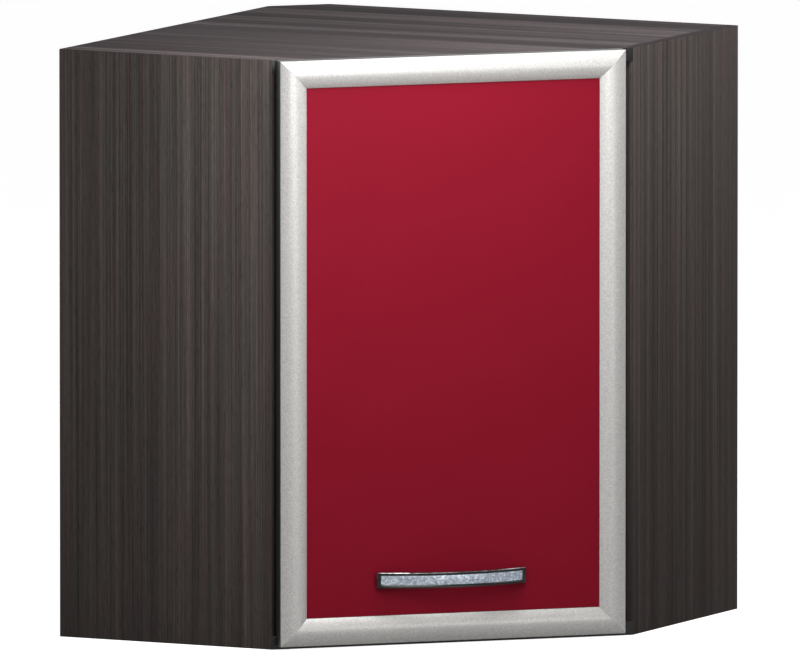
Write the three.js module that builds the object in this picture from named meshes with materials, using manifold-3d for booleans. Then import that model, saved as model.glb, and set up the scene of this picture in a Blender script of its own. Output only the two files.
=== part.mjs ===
// Diagonal corner wall cabinet: a laminated board carcass with two shelves, and one framed door
// across the corner on two concealed cup hinges. Millimetres, +Z up.
// The room corner is at the rear: the walls are the planes x = -half and y = +half,
// and z = 0 is the underside.
import * as THREE from 'three';
import { mergeVertices } from 'three/addons/utils/BufferGeometryUtils.js';
import Module from 'manifold-3d';

const wasm = await Module();
wasm.setup();

// Carcass
const cornerLeg = 600; // length along each wall
const cabinetHeight = 700;
const sideDepth = 282; // side panel, from the wall to its front edge
const rearCut = 55; // legs of the small cut at the room corner
const board = 16; // laminated chipboard
const backSheet = 3; // hardboard back
const backInset = 10; // wall to back sheet
const grooveDepth = 7;
const play = 0.3; // fitted pieces

// Shelves
const shelfCount = 2;
const shelfPlay = 1;
const shelfSetback = 20; // behind the front of the carcass
const pinRadius = 2.5;
const pinGrip = 8; // part of the pin inside the board
const pinReach = 9; // part of the pin under the shelf
const pinFrontInset = 62; // from the side panel's front edge
const pinRearInset = 48; // from the wall

// Door
const doorGap = 2; // carcass to door
const hingeReveal = 4; // carcass corner to door, hinge side
const closingReveal = 15.7;
const bottomReveal = 5;
const topReveal = 0;
const slabThickness = 16;
const edgeBand = 1;
const bumperRadius = 2.9;
const bumperInset = 7; // from the door's ends, in front of the top and bottom panels
const bumperSetback = 12; // from the closing edge

// Moulding round the door's front
const mouldingWidth = 33;
const mouldingOuterEdge = 2;
const mouldingInnerEdge = 2.6;
const mouldingCrown = 4.8;
const crownSteps = 10;

// Bow handle
const handleLength = 186;
const handleHeight = 18.5;
const handleThickness = 4.5;
const handleEndHeight = 6; // outer face over the door, at the ends
const handleBow = 20.5; // rise of the outer face to the middle
const handleRise = 75.4; // centre over the door's lower edge
const handleOffset = -4; // from the middle of the door
const handleSpacing = 160; // between the two feet
const handleFootRadius = 5;
const handleScrewRadius = 1.9;
const inlayMargin = 4.4;
const inlayHeight = 12;
const inlayDepth = 1.2;

// Cup hinges
const hingeInset = 95; // cup centre from the door's ends
const cupSetback = 22.5; // cup centre from the door's edge
const cupRadius = 17.5;
const cupDepth = 12.5;
const cupWall = 1;
const flangeThickness = 1;
const flangeReach = 17.5; // from the cup centre away from the door's edge
const flangeHalfHeight = 28.5;
const cupScrewSetback = 9.5;
const cupScrewSpacing = 45;
const pivotRadius = 1.3;
const pivotPlay = 0.1; // hinge pins in their eyes
const linkHalfWidth = 1.5;
const linkCheek = 2; // thickness of the outer link's two cheeks
const innerLinkHalfHeight = 4;
const armStandoff = 20.95; // arm pivots from the side panel
const outerPivotAhead = -0.7; // arm pivots ahead of where the front meets the panel's inner face
const innerPivotAhead = 16;
const outerPinSetback = 11.4; // cup pins from the cup centre, towards the door's edge
const innerPinSetback = 5;
const outerPinDepth = 3.5; // cup pins below the door's rear face
const innerPinDepth = 4.5;
const outerElbow = [-0.1, 8.6]; // from the cup centre, and below the door's rear face
const innerElbow = [4.8, 1];
const armSheet = 1.2;
const armHalfHeight = 8;
const armEyeRadius = 4.2;
const armRailRadius = 4.5;
const armRailStandoff = 12;
const armLength = 60;
const plateThickness = 2;
const plateLength = 32;
const plateSetback = 24; // plate's front end behind the same point
const plateHalfHeight = 24;
const plateScrewSpacing = 32;
const plateScrewLength = 14;

// Wall hangers in the upper rear corners
const hangerLength = 40;
const hangerThickness = 20;
const hangerHeight = 52;
const hangerDrop = 12; // below the top panel
const hookWidth = 8;
const hookBar = 8;
const hookSheet = 3;
const hookDrop = 22;
const hangerScrewLength = 31;

// Small screws
const screwRadius = 1.8;
const screwHeadRadius = 3.5;
const screwHeadHeight = 1.5;
const screwLength = 12;
const handleHeadRadius = 4;
const handleHeadHeight = 2.4;
const roundSteps = 16;

const half = cornerLeg / 2;
const frontCorner = new THREE.Vector2(sideDepth - half, -half); // hinge-side corner of the front
const frontLength = (cornerLeg - sideDepth) * Math.SQRT2;
const doorStart = hingeReveal;
const doorEnd = frontLength - closingReveal;
const doorBottom = bottomReveal;
const doorTop = cabinetHeight - topReveal;
const doorRear = -doorGap;
const doorFront = doorRear - slabThickness;
const hingeHeights = { lower: doorBottom + hingeInset, upper: doorTop - hingeInset };

// ---------------------------------------------------------------- solids and cuts

function solidOf(geometry) {
  const bare = geometry.clone();
  bare.deleteAttribute('normal');
  bare.deleteAttribute('uv');
  const merged = mergeVertices(bare, 1e-3);
  const index = merged.index.array;
  const triVerts = [];
  for (let i = 0; i < index.length; i += 3) {
    const [a, b, c] = [index[i], index[i + 1], index[i + 2]];
    if (a !== b && b !== c && c !== a) triVerts.push(a, b, c);
  }
  const vertProperties = new Float32Array(merged.attributes.position.array);
  const mesh = new wasm.Mesh({ numProp: 3, vertProperties, triVerts: new Uint32Array(triVerts) });
  return new wasm.Manifold(mesh);
}

function geometryOf(solid) {
  const mesh = solid.getMesh();
  const geometry = new THREE.BufferGeometry();
  geometry.setAttribute('position', new THREE.BufferAttribute(new Float32Array(mesh.vertProperties), 3));
  geometry.setIndex(new THREE.BufferAttribute(new Uint32Array(mesh.triVerts), 1));
  return geometry;
}

function cut(geometry, cutters) {
  let solid = solidOf(geometry);
  for (const cutter of cutters) solid = solid.subtract(solidOf(cutter));
  return geometryOf(solid);
}

function join(geometries) {
  let solid = solidOf(geometries[0]);
  for (const other of geometries.slice(1)) solid = solid.add(solidOf(other));
  return geometryOf(solid);
}

function box(x0, x1, y0, y1, z0, z1) {
  const geometry = new THREE.BoxGeometry(x1 - x0, y1 - y0, z1 - z0);
  return geometry.translate((x0 + x1) / 2, (y0 + y1) / 2, (z0 + z1) / 2);
}

// A plan outline raised from z0 to z1.
function raised(outline, z0, z1) {
  const shape = outline instanceof THREE.Shape ? outline : new THREE.Shape(outline);
  const geometry = new THREE.ExtrudeGeometry(shape, {
    depth: z1 - z0,
    bevelEnabled: false,
    curveSegments: 4,
  });
  return geometry.translate(0, 0, z0);
}

// A round bar from one point to another.
function bar(from, to, radius, steps = roundSteps) {
  const along = new THREE.Vector3().subVectors(to, from);
  const geometry = new THREE.CylinderGeometry(radius, radius, along.length(), steps);
  const turn = new THREE.Quaternion().setFromUnitVectors(
    new THREE.Vector3(0, 1, 0), along.clone().normalize());
  geometry.applyQuaternion(turn);
  const middle = from.clone().add(to).multiplyScalar(0.5);
  return geometry.translate(middle.x, middle.y, middle.z);
}

// A strip with round ends between two plan points.
function roundedStrip(from, to, radius, z0, z1) {
  const shape = new THREE.Shape();
  const angle = Math.atan2(to.y - from.y, to.x - from.x);
  shape.absarc(to.x, to.y, radius, angle - Math.PI / 2, angle + Math.PI / 2, false);
  shape.absarc(from.x, from.y, radius, angle + Math.PI / 2, angle + (3 * Math.PI) / 2, false);
  return raised(shape, z0, z1);
}

function reversedFaces(geometry) {
  const solid = geometry.index ? geometry : mergeVertices(geometry);
  const index = solid.index.array;
  for (let i = 0; i < index.length; i += 3) {
    [index[i + 1], index[i + 2]] = [index[i + 2], index[i + 1]];
  }
  solid.deleteAttribute('normal');
  return solid;
}

// The same piece on the other side of the diagonal: x becomes -y and y becomes -x.
function acrossDiagonal(geometry) {
  const swap = new THREE.Matrix4().set(0, -1, 0, 0, -1, 0, 0, 0, 0, 0, 1, 0, 0, 0, 0, 1);
  return reversedFaces(geometry.clone().applyMatrix4(swap));
}

// A screw whose head sits at a point and looks along a direction.
function screw(at, direction, headRadius, headHeight, shankRadius, length) {
  const profile = [
    [0, -length],
    [shankRadius, -length + shankRadius],
    [shankRadius, 0],
    [headRadius, 0],
    [headRadius * 0.75, headHeight],
    [0, headHeight],
  ].map(([r, y]) => new THREE.Vector2(r, y));
  const geometry = new THREE.LatheGeometry(profile, 12);
  geometry.applyQuaternion(
    new THREE.Quaternion().setFromUnitVectors(new THREE.Vector3(0, 1, 0), direction));
  return geometry.translate(at.x, at.y, at.z);
}

const laminate = { color: 0x3d3936, roughness: 0.5, metalness: 0 };
const hardboard = { color: 0x6e5641, roughness: 0.8, metalness: 0 };
const redLacquer = { color: 0x861a2c, roughness: 0.4, metalness: 0 };
const silverFoil = { color: 0xc9c6c0, roughness: 0.35, metalness: 0.6 };
const darkBand = { color: 0x262626, roughness: 0.4, metalness: 0 };
const steel = { color: 0xb9bcc0, roughness: 0.3, metalness: 1 };
const darkChrome = { color: 0x2e3130, roughness: 0.25, metalness: 0.9 };
const crackle = { color: 0xb8c0cc, roughness: 0.3, metalness: 0.7 };
const greyPlastic = { color: 0xd6d6d2, roughness: 0.5, metalness: 0 };
const clearRubber = { color: 0xc8c8c4, roughness: 0.6, metalness: 0 };

const cabinet = new THREE.Group();
const front = new THREE.Group(); // x along the front from the hinge side, y into the cabinet
front.position.set(frontCorner.x, frontCorner.y, 0);
front.rotation.z = Math.PI / 4;
cabinet.add(front);

function add(name, geometry, finish, parent = cabinet) {
  const mesh = new THREE.Mesh(geometry, new THREE.MeshStandardMaterial(finish));
  mesh.name = name;
  parent.add(mesh);
  return mesh;
}

// ---------------------------------------------------------------- carcass

const innerSide = board - half; // inner face of the left side panel, as a y
const innerBack = backInset + backSheet - half; // inner face of the left back sheet, as an x
const cornerBoardRear = cornerLeg - rearCut; // y - x on the cut
const cornerBoardFront = cornerBoardRear - board * Math.SQRT2;
const insideTop = cabinetHeight - board;
const clearHeight = (cabinetHeight - board * (shelfCount + 2)) / (shelfCount + 1);
const shelfLevels = Array.from({ length: shelfCount }, (_, i) => (i + 1) * (clearHeight + board));
const pinStations = {
  front: sideDepth - half - pinFrontInset,
  rear: pinRearInset - half,
};
const grooveStart = backInset - half - play;
const grooveEnd = innerBack + play;
const sheetEnd = cornerBoardFront + backInset - half - play;
const hangerTop = insideTop - hangerDrop;
const hangerRear = innerBack + play;
const hangerFront = hangerRear + hangerLength;
const hookTop = hangerTop - hangerHeight / 2 + hookBar;
const hookMiddle = innerSide + hangerThickness / 2;
const hookPocketEnd = hangerRear + hangerLength * 0.6;
const hangerScrewX = (hookPocketEnd + hangerFront) / 2;
const hangerScrewHeights = [hangerTop - hangerHeight * 0.22, hangerTop - hangerHeight * 0.78];
const plateFront = sideDepth - half + board - plateSetback;
const plateScrewX = plateFront - plateLength / 2;

// Blind holes in the left side panel, from its inner face.
function sideHole(x, z, radius, depth) {
  const start = new THREE.Vector3(x, innerSide - depth, z);
  return bar(start, new THREE.Vector3(x, innerSide + 1, z), radius);
}

function sidePanel(isHingeSide) {
  const cutters = [
    box(grooveStart, grooveEnd, innerSide - grooveDepth, innerSide + 1,
      board - grooveDepth, insideTop + grooveDepth),
  ];
  for (const level of shelfLevels) {
    for (const x of Object.values(pinStations)) {
      cutters.push(sideHole(x, level - pinRadius - play, pinRadius + play, pinGrip + play));
    }
  }
  for (const z of hangerScrewHeights) {
    const depth = hangerScrewLength - hangerThickness + play;
    cutters.push(sideHole(hangerScrewX, z, screwRadius + play, depth));
  }
  if (isHingeSide) {
    for (const z of Object.values(hingeHeights)) {
      for (const side of [-1, 1]) {
        const depth = plateScrewLength - plateThickness + play;
        cutters.push(sideHole(plateScrewX, z + (side * plateScrewSpacing) / 2,
          screwRadius + play, depth));
      }
    }
  }
  return cut(box(-half, sideDepth - half, -half, innerSide, 0, cabinetHeight), cutters);
}

// Top and bottom lie between the side panels, reach to the walls, and run on in front of
// the side panels' square edges, so that their front edges go from corner to corner.
function plateOutline() {
  const points = [
    [-half, innerSide],
    [sideDepth - half, innerSide],
    [sideDepth - half, -half],
    [half, half - sideDepth],
    [half - board, half - sideDepth],
    [half - board, half],
    [rearCut - half, half],
    [-half, half - rearCut],
  ];
  return points.map(([x, y]) => new THREE.Vector2(x, y));
}

function topOrBottom(z0, grooveLow, grooveHigh) {
  const groove = box(grooveStart, grooveEnd, innerSide - 1, sheetEnd + 2 * play,
    grooveLow, grooveHigh);
  return cut(raised(plateOutline(), z0, z0 + board), [groove, acrossDiagonal(groove)]);
}

function cornerBackPanel() {
  const outline = [
    [-half, half - rearCut],
    [-half, cornerBoardFront - half],
    [half - cornerBoardFront, half],
    [rearCut - half, half],
  ].map(([x, y]) => new THREE.Vector2(x, y));
  const middle = new THREE.Vector2(-cornerBoardFront / 2, cornerBoardFront / 2);
  const outward = new THREE.Vector2(-Math.SQRT1_2, Math.SQRT1_2);
  const holes = shelfLevels.map((level) => {
    const z = level - pinRadius - play;
    const mouth = middle.clone().addScaledVector(outward, -1);
    const end = middle.clone().addScaledVector(outward, pinGrip + play);
    return bar(new THREE.Vector3(mouth.x, mouth.y, z), new THREE.Vector3(end.x, end.y, z),
      pinRadius + play);
  });
  return cut(raised(outline, board, insideTop), holes);
}

function backSheetPanel() {
  const tongue = grooveDepth - play;
  const sheet = box(backInset - half, innerBack, innerSide - tongue, sheetEnd,
    board - tongue, insideTop + tongue);
  const notch = box(-half, hangerRear, innerSide - grooveDepth, innerSide + hangerThickness,
    hookTop - hookDrop - 2 * play, cabinetHeight);
  return cut(sheet, [notch]);
}

add('left_side_panel', sidePanel(true), laminate);
add('right_side_panel', acrossDiagonal(sidePanel(false)), laminate);
add('bottom_panel', topOrBottom(0, board - grooveDepth, board + 1), laminate);
add('top_panel', topOrBottom(insideTop, insideTop - 1, insideTop + grooveDepth), laminate);
add('corner_back_panel', cornerBackPanel(), laminate);
add('back_sheet_left', backSheetPanel(), hardboard);
add('back_sheet_right', acrossDiagonal(backSheetPanel()), hardboard);

// ---------------------------------------------------------------- shelves and their pins

function shelf(level) {
  const side = innerSide + shelfPlay;
  const back = innerBack + shelfPlay;
  const frontLine = cornerLeg - (cornerLeg - sideDepth) - shelfSetback * Math.SQRT2; // x - y
  const rearLine = cornerBoardFront - shelfPlay * Math.SQRT2; // y - x
  const outline = [
    [back, side],
    [side + frontLine, side],
    [-side, -side - frontLine],
    [-side, -back],
    [-back - rearLine, -back],
    [back, back + rearLine],
  ].map(([x, y]) => new THREE.Vector2(x, y));
  return raised(outline, level, level + board);
}

// A pin lies along y: a round shank in the board and a flat-topped rest under the shelf.
function shelfPin() {
  const shank = bar(new THREE.Vector3(0, -pinGrip, 0), new THREE.Vector3(0, 1, 0), pinRadius);
  const rest = box(-pinRadius - 1, pinRadius + 1, 0, pinReach, -pinRadius - 1, pinRadius + play);
  return join([shank, rest]);
}

shelfLevels.forEach((level, i) => {
  const floor = `shelf_${i + 1}`;
  add(floor, shelf(level), laminate);
  const z = level - pinRadius - play;
  for (const [station, x] of Object.entries(pinStations)) {
    const pin = shelfPin().translate(x, innerSide, z);
    add(`${floor}_pin_left_${station}`, pin, steel);
    add(`${floor}_pin_right_${station}`, acrossDiagonal(pin), steel);
  }
  const cornerPin = add(`${floor}_pin_corner`, shelfPin(), steel);
  cornerPin.position.set(-cornerBoardFront / 2, cornerBoardFront / 2, z);
  cornerPin.rotation.z = (-3 * Math.PI) / 4;
});

// ---------------------------------------------------------------- door

const cupX = doorStart + cupSetback;
const cupBottom = doorRear - cupDepth;
const handleX = (doorStart + doorEnd) / 2 + handleOffset;
const handleZ = doorBottom + handleRise;
const cupScrewX = cupX + cupScrewSetback;
const footXs = { left: handleX - handleSpacing / 2, right: handleX + handleSpacing / 2 };

function depthBar(x, z, y0, y1, radius, steps) {
  return bar(new THREE.Vector3(x, y0, z), new THREE.Vector3(x, y1, z), radius, steps);
}

function doorSlab() {
  const skin = edgeBand + play;
  const slab = box(doorStart + skin, doorEnd - skin, doorFront, doorRear,
    doorBottom + skin, doorTop - skin);
  const cutters = [];
  for (const z of Object.values(hingeHeights)) {
    cutters.push(depthBar(cupX, z, cupBottom - play, doorRear + 1, cupRadius + play, 32));
    for (const side of [-1, 1]) {
      cutters.push(depthBar(cupScrewX, z + (side * cupScrewSpacing) / 2,
        doorRear - screwLength - play, doorRear + 1, screwRadius + play));
    }
  }
  for (const x of Object.values(footXs)) {
    cutters.push(depthBar(x, handleZ, doorFront - 1, doorRear + 1, handleScrewRadius + play));
  }
  return cut(slab, cutters);
}

add('door_panel', doorSlab(), redLacquer, front);

add('door_edge_band_left',
  box(doorStart, doorStart + edgeBand, doorFront, doorRear, doorBottom, doorTop), darkBand, front);
add('door_edge_band_right',
  box(doorEnd - edgeBand, doorEnd, doorFront, doorRear, doorBottom, doorTop), darkBand, front);
for (const [name, z] of [['top', doorTop - edgeBand], ['bottom', doorBottom]]) {
  add(`door_edge_band_${name}`,
    box(doorStart + edgeBand + play, doorEnd - edgeBand - play, doorFront, doorRear,
      z, z + edgeBand), darkBand, front);
}

// Convex section: x from the door's edge inwards, y outwards from the slab.
function mouldingSection() {
  const points = [new THREE.Vector2(mouldingWidth, 0), new THREE.Vector2(0, 0)];
  for (let i = 0; i <= crownSteps; i += 1) {
    const t = i / crownSteps;
    const chord = mouldingOuterEdge + (mouldingInnerEdge - mouldingOuterEdge) * t;
    const rise = mouldingCrown - (mouldingOuterEdge + mouldingInnerEdge) / 2;
    points.push(new THREE.Vector2(mouldingWidth * t, chord + rise * (1 - (2 * t - 1) ** 2)));
  }
  return points.reverse();
}

// A length of moulding along +z, from its outer corner, both ends mitred.
function moulding(length) {
  const geometry = raised(mouldingSection(), 0, length);
  const position = geometry.attributes.position;
  const seam = play * Math.SQRT1_2;
  for (let i = 0; i < position.count; i += 1) {
    const inset = position.getX(i) + seam;
    const end = position.getZ(i) > length / 2 ? length - inset : inset;
    position.setZ(i, end);
  }
  return geometry;
}

function addMoulding(name, length, toFront) {
  const geometry = moulding(length).applyMatrix4(toFront);
  geometry.deleteAttribute('normal');
  const faces = toFront.determinant() < 0 ? reversedFaces(geometry) : geometry;
  add(name, faces, silverFoil, front);
}

const mouldingBase = doorFront - play;
const doorHeight = doorTop - doorBottom;
const doorWidth = doorEnd - doorStart;
const basis = (x, y, z, at) => new THREE.Matrix4()
  .makeBasis(new THREE.Vector3(...x), new THREE.Vector3(...y), new THREE.Vector3(...z))
  .setPosition(...at);
addMoulding('door_moulding_left', doorHeight,
  basis([1, 0, 0], [0, -1, 0], [0, 0, 1], [doorStart, mouldingBase, doorBottom]));
addMoulding('door_moulding_right', doorHeight,
  basis([-1, 0, 0], [0, -1, 0], [0, 0, 1], [doorEnd, mouldingBase, doorBottom]));
addMoulding('door_moulding_bottom', doorWidth,
  basis([0, 0, 1], [0, -1, 0], [1, 0, 0], [doorStart, mouldingBase, doorBottom]));
addMoulding('door_moulding_top', doorWidth,
  basis([0, 0, -1], [0, -1, 0], [1, 0, 0], [doorStart, mouldingBase, doorTop]));

for (const [name, z] of [['lower', doorBottom + bumperInset], ['upper', doorTop - bumperInset]]) {
  add(`door_bumper_${name}`,
    depthBar(doorEnd - bumperSetback, z, doorRear + play, -play, bumperRadius, 12),
    clearRubber, front);
}

// ---------------------------------------------------------------- handle

const bowRadius = ((handleLength / 2) ** 2 + handleBow ** 2) / (2 * handleBow);
const bowCentreY = doorFront - handleEndHeight - handleBow + bowRadius;

// A curved strip between two radii about the bow's centre, over a half length.
function bowStrip(outer, inner, halfLength, height) {
  const reach = Math.asin(halfLength / bowRadius);
  const middle = -Math.PI / 2;
  const shape = new THREE.Shape();
  shape.absarc(handleX, bowCentreY, outer, middle - reach, middle + reach, false);
  shape.absarc(handleX, bowCentreY, inner, middle + reach, middle - reach, true);
  const geometry = new THREE.ExtrudeGeometry(shape, {
    depth: height,
    bevelEnabled: false,
    curveSegments: 20,
  });
  return geometry.translate(0, 0, handleZ - height / 2);
}

function bowHeightAt(x, radius) {
  return bowCentreY - Math.sqrt(radius ** 2 - (x - handleX) ** 2);
}

function handleBowPiece() {
  const strip = bowStrip(bowRadius, bowRadius - handleThickness, handleLength / 2, handleHeight);
  const pieces = [strip];
  const holes = [];
  for (const x of Object.values(footXs)) {
    const seat = bowHeightAt(x, bowRadius - handleThickness / 2);
    pieces.push(depthBar(x, handleZ, seat, doorFront - play, handleFootRadius));
    holes.push(depthBar(x, handleZ, seat + 1, doorFront + 1, handleScrewRadius + play));
  }
  const pocket = bowStrip(bowRadius + 2, bowRadius - inlayDepth,
    handleLength / 2 - inlayMargin, inlayHeight);
  return cut(join(pieces), [pocket, ...holes]);
}

function handleInlay() {
  const margin = inlayMargin + play;
  return bowStrip(bowRadius - play, bowRadius - inlayDepth + play,
    handleLength / 2 - margin, inlayHeight - 2 * play);
}

add('handle_bow', handleBowPiece(), darkChrome, front);
add('handle_inlay', handleInlay(), crackle, front);
for (const [side, x] of Object.entries(footXs)) {
  const tip = bowHeightAt(x, bowRadius - handleThickness / 2) + 1 + play;
  const at = new THREE.Vector3(x, doorRear + play, handleZ);
  add(`handle_screw_${side}`,
    screw(at, new THREE.Vector3(0, 1, 0), handleHeadRadius, handleHeadHeight, handleScrewRadius,
      doorRear + play - tip), steel, front);
}

// ---------------------------------------------------------------- hinges

const toFrontPlan = (x, y) => new THREE.Vector2(
  (x - frontCorner.x + (y - frontCorner.y)) * Math.SQRT1_2,
  (y - frontCorner.y - (x - frontCorner.x)) * Math.SQRT1_2,
);
const hingeCorner = new THREE.Vector2(sideDepth - half + board, innerSide);
const armPivots = {
  outer: toFrontPlan(hingeCorner.x + outerPivotAhead, hingeCorner.y + armStandoff),
  inner: toFrontPlan(hingeCorner.x + innerPivotAhead, hingeCorner.y + armStandoff),
};
const cupPins = {
  outer: new THREE.Vector2(cupX - outerPinSetback, doorRear - outerPinDepth),
  inner: new THREE.Vector2(cupX - innerPinSetback, doorRear - innerPinDepth),
};
const elbows = {
  outer: new THREE.Vector2(cupX + outerElbow[0], doorRear - outerElbow[1]),
  inner: new THREE.Vector2(cupX + innerElbow[0], doorRear - innerElbow[1]),
};
const flangeInner = armHalfHeight - armSheet;
const cheekTop = flangeInner - play;
const eyeRadius = linkHalfWidth + 1;

function upright(point, halfHeight, radius) {
  return bar(new THREE.Vector3(point.x, point.y, -halfHeight),
    new THREE.Vector3(point.x, point.y, halfHeight), radius);
}

// Cup and links are drawn about the hinge's own height.
function hingeCup() {
  const rim = doorRear + play + flangeThickness;
  const inside = cupRadius - cupWall;
  const tub = new THREE.LatheGeometry([
    [0, cupBottom],
    [cupRadius, cupBottom],
    [cupRadius, rim],
    [inside, rim],
    [inside, cupBottom + cupWall],
    [0, cupBottom + cupWall],
  ].map(([r, y]) => new THREE.Vector2(r, y)), 32).translate(cupX, 0, 0);
  const flange = cut(
    box(cupX - flangeThickness, cupX + flangeReach, doorRear + play, rim,
      -flangeHalfHeight, flangeHalfHeight),
    [depthBar(cupX, 0, doorRear, 1, inside + cupWall / 2, 32)]);
  const pinHalf = Math.sqrt(cupRadius ** 2 - (outerPinSetback + pivotRadius) ** 2) - play;
  const cup = join([tub, flange, upright(cupPins.outer, pinHalf, pivotRadius)]);
  const cutters = [box(cupX - 2 * cupRadius, cupX - flangeThickness - play, doorRear, 1,
    -2 * cupRadius, 2 * cupRadius)];
  for (const side of [-1, 1]) {
    cutters.push(depthBar(cupScrewX, (side * cupScrewSpacing) / 2, doorRear - 1, 1,
      screwRadius + play));
  }
  return cut(cup, cutters);
}

function outerLink() {
  const low = cheekTop - linkCheek;
  const pieces = [];
  for (const [z0, z1] of [[low, cheekTop], [-cheekTop, -low]]) {
    pieces.push(roundedStrip(armPivots.outer, elbows.outer, linkHalfWidth, z0, z1));
    pieces.push(roundedStrip(elbows.outer, cupPins.outer, linkHalfWidth, z0, z1));
    pieces.push(raised(new THREE.Shape().absarc(cupPins.outer.x, cupPins.outer.y, eyeRadius,
      0, 2 * Math.PI, false), z0, z1));
  }
  pieces.push(upright(armPivots.outer, armHalfHeight + play, pivotRadius));
  pieces.push(upright(armPivots.outer, low + 0.5, linkHalfWidth + 0.5));
  return cut(join(pieces), [upright(cupPins.outer, armHalfHeight, pivotRadius + pivotPlay)]);
}

function innerLink() {
  const h = innerLinkHalfHeight;
  return join([
    roundedStrip(armPivots.inner, elbows.inner, linkHalfWidth, -h, h),
    roundedStrip(elbows.inner, cupPins.inner, linkHalfWidth, -h, h),
    upright(armPivots.inner, armHalfHeight + play, pivotRadius),
  ]);
}

// The arm is a sheet channel open towards the side panel; its front end is cranked out
// to the two pivots. Its plan is drawn from where the front meets the panel's inner face.
function hingeArm() {
  const rearEnd = new THREE.Vector2(-armLength, armRailStandoff);
  const crank = new THREE.Vector2(-plateSetback + armRailStandoff, armRailStandoff);
  const outer = new THREE.Vector2(outerPivotAhead, armStandoff);
  const inner = new THREE.Vector2(innerPivotAhead, armStandoff);
  const outline = (halfHeight, shift) => {
    const strips = [
      [rearEnd, crank, armRailRadius],
      [crank, outer, armEyeRadius],
      [outer, inner, armEyeRadius],
    ].map(([from, to, radius]) => roundedStrip(from, to, radius, -halfHeight, halfHeight));
    return join(strips).translate(0, shift, 0);
  };
  const channel = cut(outline(armHalfHeight, 0), [
    outline(flangeInner, -armSheet),
    upright(outer, armHalfHeight + 1, pivotRadius + pivotPlay),
    upright(inner, armHalfHeight + 1, pivotRadius + pivotPlay),
  ]);
  return channel.translate(hingeCorner.x, hingeCorner.y, 0);
}

// The plate lies on the side panel; its rail fills the arm's channel.
function mountingPlate() {
  const rear = plateFront - plateLength;
  const railTop = armRailStandoff + armRailRadius - armSheet - play;
  const railHalf = flangeInner - play;
  const plate = join([
    box(rear, plateFront, innerSide, innerSide + plateThickness,
      -plateHalfHeight, plateHalfHeight),
    box(rear, plateFront, innerSide, innerSide + railTop, -railHalf, railHalf),
  ]);
  const holes = [-1, 1].map((side) => bar(
    new THREE.Vector3(plateScrewX, innerSide - 1, (side * plateScrewSpacing) / 2),
    new THREE.Vector3(plateScrewX, innerSide + plateThickness + 1, (side * plateScrewSpacing) / 2),
    screwRadius + play));
  return cut(plate, holes);
}

for (const [level, z] of Object.entries(hingeHeights)) {
  add(`${level}_hinge_cup`, hingeCup().translate(0, 0, z), steel, front);
  add(`${level}_hinge_outer_link`, outerLink().translate(0, 0, z), steel, front);
  add(`${level}_hinge_inner_link`, innerLink().translate(0, 0, z), steel, front);
  add(`${level}_hinge_arm`, hingeArm().translate(0, 0, z), steel);
  add(`${level}_hinge_plate`, mountingPlate().translate(0, 0, z), steel);
  for (const [place, side] of [['low', -1], ['high', 1]]) {
    const onCup = new THREE.Vector3(cupScrewX, doorRear + 2 * play + flangeThickness,
      z + (side * cupScrewSpacing) / 2);
    add(`${level}_hinge_cup_screw_${place}`,
      screw(onCup, new THREE.Vector3(0, 1, 0), screwHeadRadius, screwHeadHeight, screwRadius,
        screwLength), steel, front);
    const onPlate = new THREE.Vector3(plateScrewX, innerSide + plateThickness,
      z + (side * plateScrewSpacing) / 2);
    add(`${level}_hinge_plate_screw_${place}`,
      screw(onPlate, new THREE.Vector3(0, 1, 0), screwHeadRadius, screwHeadHeight, screwRadius,
        plateScrewLength), steel);
  }
}

// ---------------------------------------------------------------- wall hangers

// Drawn on the left side panel; the right one is the same across the diagonal.
function hangerHousing() {
  const body = box(hangerRear, hangerFront, innerSide, innerSide + hangerThickness,
    hangerTop - hangerHeight, hangerTop);
  const pocket = box(hangerRear - 1, hookPocketEnd + play, hookMiddle - hookWidth / 2 - play,
    hookMiddle + hookWidth / 2 + play, hookTop - hookBar - play, hookTop + play);
  const holes = hangerScrewHeights.map((z) => bar(
    new THREE.Vector3(hangerScrewX, innerSide - 1, z),
    new THREE.Vector3(hangerScrewX, innerSide + hangerThickness + 1, z), screwRadius + play));
  return cut(body, [pocket, ...holes]);
}

function hangerHook() {
  const rear = play - half;
  const y0 = hookMiddle - hookWidth / 2;
  const y1 = hookMiddle + hookWidth / 2;
  return join([
    box(rear, hookPocketEnd, y0, y1, hookTop - hookBar, hookTop),
    box(rear, rear + hookSheet, y0, y1, hookTop - hookDrop, hookTop),
  ]);
}

for (const [side, place] of [['left', (g) => g], ['right', acrossDiagonal]]) {
  add(`${side}_hanger_housing`, place(hangerHousing()), greyPlastic);
  add(`${side}_hanger_hook`, place(hangerHook()), steel);
  hangerScrewHeights.forEach((z, i) => {
    const at = new THREE.Vector3(hangerScrewX, innerSide + hangerThickness, z);
    add(`${side}_hanger_screw_${i === 0 ? 'upper' : 'lower'}`,
      place(screw(at, new THREE.Vector3(0, 1, 0), screwHeadRadius, screwHeadHeight, screwRadius,
        hangerScrewLength)), steel);
  });
}

export default cabinet;
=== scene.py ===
import math

import bmesh
import bpy
from mathutils import Matrix, Vector


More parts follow.
